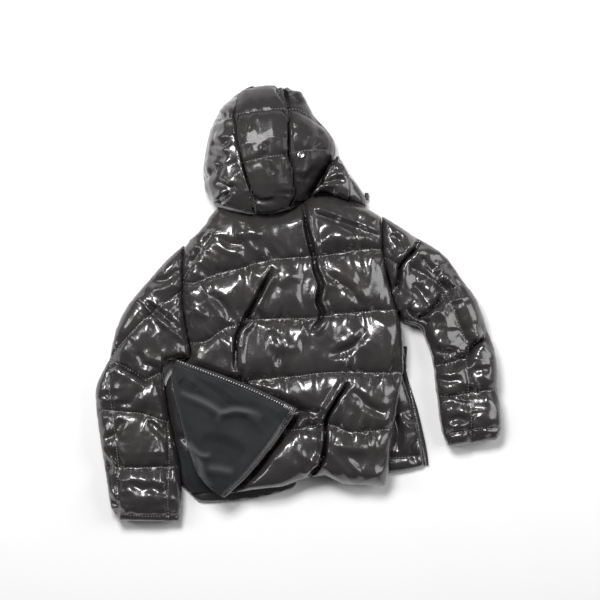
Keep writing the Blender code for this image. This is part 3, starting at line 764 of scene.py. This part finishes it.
def dome(piece, centre, seams, folds, seed, pucker=2.0 * MM):
    """Draws a filled-out panel in along its seams and folds, square to its surface."""
    co, normals = points_of(piece), points_of(piece, "normal")
    plan = co[:, :2]
    outward = ((co - centre) * normals).sum(axis=1) > 0
    lift = np.array([slack(place, seed) for place in co]) * 2.4 * MM
    drawn = np.zeros(len(co))
    held = np.zeros(len(co), bool)
    for number, (points, depth, half) in enumerate(seams):
        gap, along, side = distance_to(plan, smooth_line(points))
        drawn += depth * (1 - round_up(gap / half))
        lift += puckers(gap, along, side, pucker, seed + number)
        held |= gap < SEWN_REACH
    deep, in_fold = folded(plan, folds)
    low = np.clip(co[:, 2] / (15 * MM), 0, 1)
    keep_creases(piece, lift * outward * low * 0.6)
    lift = (lift - drawn - deep) * outward * low
    put_points(piece, co + normals * lift[:, None])
    pins = piece.vertex_groups.new(name="sewn")
    pinned = held | in_fold | ~outward | (co[:, 2] < 5 * MM)
    pins.add([int(k) for k in np.nonzero(pinned)[0]], 1.0, "REPLACE")
    return piece


# Painted shade: a slightly darker, less coated copy of the body nylon for two hood panels.
hood_shaded_nylon = coated_nylon("hood_shaded_nylon", (0.034, 0.029, 0.028), (0.020, 0.020, 0.022), 0.24,
                          HOOD_COAT)
for number, node in enumerate(("hood_left", "hood_centre", "hood_right")):
    hood, _, _ = cloth_body(node, node + "_cloth", 4.8 * MM, open_below=False)
    dome(hood, np.array((-0.07, 0.33, 0.0)), HOOD_SEAMS, HOOD_FOLDS, 61.0 + 7 * number)
    fill(hood, (0.03, 0.03, 0.03), 5 * MM, pressure=2.2, frames=8)
    stands_for(hood, node, hood_shaded_nylon if number else nylon)
    sew(node + "_stitches", hood, [seam[0] for seam in HOOD_SEAMS[2:]], thread)
SIDE_FOLDS = [
    ([(44, 258), (62, 262), (84, 268), (100, 268)], 9 * MM, 6 * MM, 1),
    ([(46, 262), (62, 276), (80, 296)], 9 * MM, 6 * MM, 1),
    ([(40, 250), (60, 246), (84, 244)], 8 * MM, 6 * MM, -1),
    ([(72, 300), (84, 308), (94, 312)], 6 * MM, 6 * MM, 1),
]
for node in ("hood_side_front", "hood_edge_band"):
    stand, _, _ = cloth_body(node, node + "_cloth", 4.4 * MM, open_below=False)
    dome(stand, np.array((0.09, 0.25, -0.05)), [], SIDE_FOLDS, 83.0)
    fill(stand, (0.05, 0.05, 0.03), 5 * MM, frames=8)
    stands_for(stand, node, nylon)

# ---- Stud and cord stop -----------------------------------------------------------------------
# A polished ring stud is pressed through the hood's right panel, and a black plastic stop slides
# on the hood's elastic edge.
gunmetal, gunmetal_shader, _ = new_finish("polished_gunmetal")
gunmetal_shader.inputs["Base Color"].default_value = (0.45, 0.45, 0.46, 1)
gunmetal_shader.inputs["Metallic"].default_value = 1.0
gunmetal_shader.inputs["Roughness"].default_value = 0.2
black_plastic, plastic_shader, _ = new_finish("black_plastic")
plastic_shader.inputs["Base Color"].default_value = (0.015, 0.015, 0.016, 1)
plastic_shader.inputs["Roughness"].default_value = 0.4


STOP_SHIFT = Vector((-3.5, -1.0, 3.5)) * MM   # it hangs against the edge band


def middle_of(node):
    spots = np.array([corner.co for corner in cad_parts[node].data.vertices])
    return Vector((spots.min(axis=0) + spots.max(axis=0)) / 2)


stud_place = middle_of("hood_stud")
hood_shape = BVHTree.FromObject(hood, bpy.context.evaluated_depsgraph_get())
stud_place, stud_normal, _, _ = hood_shape.ray_cast(stud_place + Vector((0, 0, 0.1)),
                                                     Vector((0, 0, -1)))
bpy.ops.object.select_all(action="DESELECT")
bpy.ops.mesh.primitive_torus_add(major_radius=6.2 * MM, minor_radius=1.5 * MM,
                                 major_segments=40, minor_segments=12)
stud = bpy.context.object
stud.name = "stud_ring"
bpy.ops.object.select_all(action="DESELECT")
bpy.ops.mesh.primitive_cylinder_add(vertices=40, radius=5.8 * MM, depth=1.4 * MM)
cap = bpy.context.object
bpy.ops.object.mode_set(mode="EDIT")
bpy.ops.mesh.select_mode(type="FACE")
bpy.ops.mesh.select_all(action="DESELECT")
bpy.ops.object.mode_set(mode="OBJECT")
for face in cap.data.polygons:
    face.select = face.normal.z > 0.9
bpy.ops.object.mode_set(mode="EDIT")
bpy.ops.mesh.inset(thickness=2.2 * MM, depth=-0.5 * MM)
bpy.ops.mesh.inset(thickness=0.5 * MM, depth=0.5 * MM)
bpy.ops.object.mode_set(mode="OBJECT")
stud.select_set(True)
bpy.context.view_layer.objects.active = stud
bpy.ops.object.join()
bpy.ops.object.shade_smooth_by_angle(angle=math.radians(40))
stud_normal = (stud_normal + Vector((0, 0, 2))).normalized()   # it sits nearly level
turn = Vector((0, 0, 1)).rotation_difference(stud_normal).to_matrix().to_4x4()
stud.data.transform(Matrix.Translation(stud_place + stud_normal * 2.0 * MM) @ turn)
stud.data.materials.append(gunmetal)
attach(stud, "root")
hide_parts("hood_stud")

bpy.ops.object.select_all(action="DESELECT")
bpy.ops.mesh.primitive_cylinder_add(vertices=28, radius=4.4 * MM, depth=15.6 * MM)
stop = bpy.context.object
stop.name = "cord_stop"
bpy.ops.object.mode_set(mode="EDIT")
bpy.ops.mesh.select_mode(type="FACE")
bpy.ops.mesh.select_all(action="DESELECT")
bpy.ops.object.mode_set(mode="OBJECT")
for face in stop.data.polygons:
    face.select = abs(face.normal.z) > 0.9
bpy.ops.object.mode_set(mode="EDIT")
bpy.ops.mesh.inset(thickness=1.0 * MM, depth=0.6 * MM)
bpy.ops.mesh.inset(thickness=1.0 * MM, depth=-1.4 * MM)
bpy.ops.object.mode_set(mode="OBJECT")
bpy.ops.object.shade_smooth_by_angle(angle=math.radians(40))
stop.data.transform(Matrix.Translation(middle_of("hood_cord_stop") + STOP_SHIFT)
                    @ Matrix.Rotation(math.pi / 2, 4, "X"))
stop.data.materials.append(black_plastic)
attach(stop, "root")
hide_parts("hood_cord_stop")

# ---- Floor, light and camera ------------------------------------------------------------------
# A pale floor, the main soft light beyond the hood, a broad weaker one at the right and a low
# one at the left, and a camera straight above, as over a garment laid flat.
bpy.ops.object.select_all(action="DESELECT")
bpy.ops.mesh.primitive_plane_add(size=8, location=(0, 0, -0.0005))
floor = bpy.context.object
floor.name = "floor"
sweep, sweep_shader, _ = new_finish("white_sweep")
sweep_shader.inputs["Base Color"].default_value = (0.76, 0.76, 0.76, 1)
sweep_shader.inputs["Roughness"].default_value = 0.9
floor.data.materials.append(sweep)

world = bpy.data.worlds.new("studio")
bpy.context.scene.world = world
world.use_nodes = True
world.node_tree.nodes["Background"].inputs["Color"].default_value = (1, 1, 1, 1)
world.node_tree.nodes["Background"].inputs["Strength"].default_value = 0.09


def softbox(name, place, size, power):
    lamp = bpy.data.lights.new(name, "AREA")
    lamp.shape, lamp.size, lamp.size_y, lamp.energy = "RECTANGLE", size[0], size[1], power
    box = bpy.data.objects.new(name, lamp)
    bpy.context.scene.collection.objects.link(box)
    box.location = place
    box.rotation_euler = (-Vector(place)).to_track_quat("-Z", "Y").to_euler()


softbox("key", (-0.6, 1.35, 2.5), (1.05, 0.75), 100)
softbox("side", (2.3, 0.4, 1.7), (1.7, 2.1), 52)
softbox("fill", (-2.1, 0.5, 1.9), (0.7, 1.4), 24)
EYE_HEIGHT = 3.4
JACKET_MIDDLE = 0.05         # the height at which the width below is seen
SEEN_WIDTH = 1.32
SENSOR_WIDTH = 36            # in mm, as the lens is
eye = bpy.data.cameras.new("eye")
camera = bpy.data.objects.new("eye", eye)
bpy.context.scene.collection.objects.link(camera)
camera.location = (0.0035, 0.0057, EYE_HEIGHT)
eye.lens = SENSOR_WIDTH * (EYE_HEIGHT - JACKET_MIDDLE) / SEEN_WIDTH
bpy.context.scene.camera = camera
bpy.context.scene.view_settings.view_transform = "Standard"
